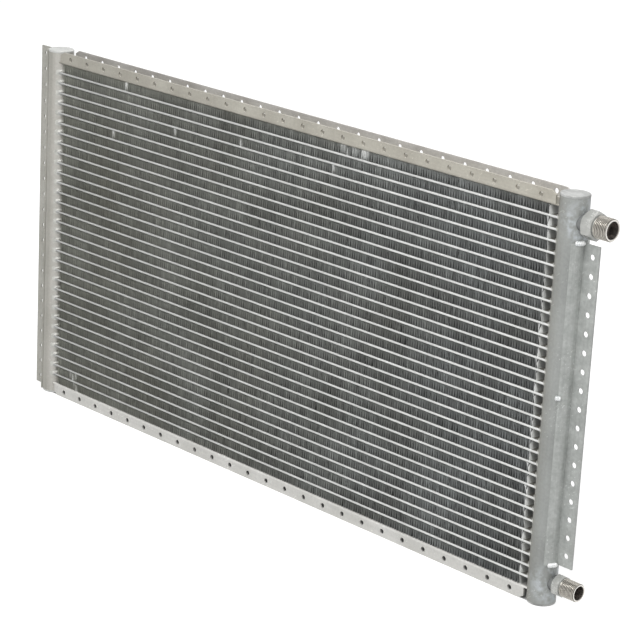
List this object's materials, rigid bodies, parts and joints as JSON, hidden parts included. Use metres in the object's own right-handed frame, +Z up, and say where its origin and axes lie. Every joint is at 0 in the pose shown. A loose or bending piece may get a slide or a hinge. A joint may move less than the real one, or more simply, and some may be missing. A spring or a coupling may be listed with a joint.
{
  "type": "finned condenser coil",
  "caption": "Flat aluminium heat exchanger: parallel flat tubes with folded fins between two round headers, drilled side plates and brackets, and two threaded fittings on one side.",
  "frame": {"origin": "centre of the four corner holes of the side plates, in their front face", "axes": "+X along the tubes towards the header with the fittings, +Y from the front face to the back, +Z up"},
  "size_m": [0.7295, 0.0272, 0.352],
  "materials": {
    "header": "matt brazed aluminium tube",
    "cap": "matt brazed aluminium",
    "baffle": "matt aluminium, inside the headers",
    "tube": "extruded aluminium, bright nose",
    "fin": "folded thin aluminium strip, dulled by brazing",
    "plate": "rolled aluminium sheet, matt",
    "bracket": "extruded aluminium, matt",
    "weld": "bright weld metal",
    "fitting": "turned and plated, warm bright metal"
  },
  "bodies": {
    "root": {"header_left": "header", "header_right": "header", "cap_left_top": "cap", "cap_left_bottom": "cap", "cap_right_top": "cap", "cap_right_bottom": "cap", "baffle_right_upper": "baffle", "baffle_left": "baffle", "baffle_right_lower": "baffle", "side_plate_top": "plate", "side_plate_bottom": "plate", "bracket_left": "bracket", "bracket_right": "bracket", "bracket_welds": "weld", "fitting_inlet": "fitting", "fitting_outlet": "fitting", "fins_pass_1": "fin", "fins_pass_2": "fin", "fins_pass_3": "fin", "fins_pass_4": "fin", "tube_01": "tube", "tube_02": "tube", "tube_03": "tube", "tube_04": "tube", "tube_05": "tube", "tube_06": "tube", "tube_07": "tube", "tube_08": "tube", "tube_09": "tube", "tube_10": "tube", "tube_11": "tube", "tube_12": "tube", "tube_13": "tube", "tube_14": "tube", "tube_15": "tube", "tube_16": "tube", "tube_17": "tube", "tube_18": "tube", "tube_19": "tube", "tube_20": "tube", "tube_21": "tube", "tube_22": "tube", "tube_23": "tube", "tube_24": "tube", "tube_25": "tube", "tube_26": "tube", "tube_27": "tube", "tube_28": "tube", "tube_29": "tube", "tube_30": "tube", "tube_31": "tube", "tube_32": "tube"}
  },
  "joints": []
}
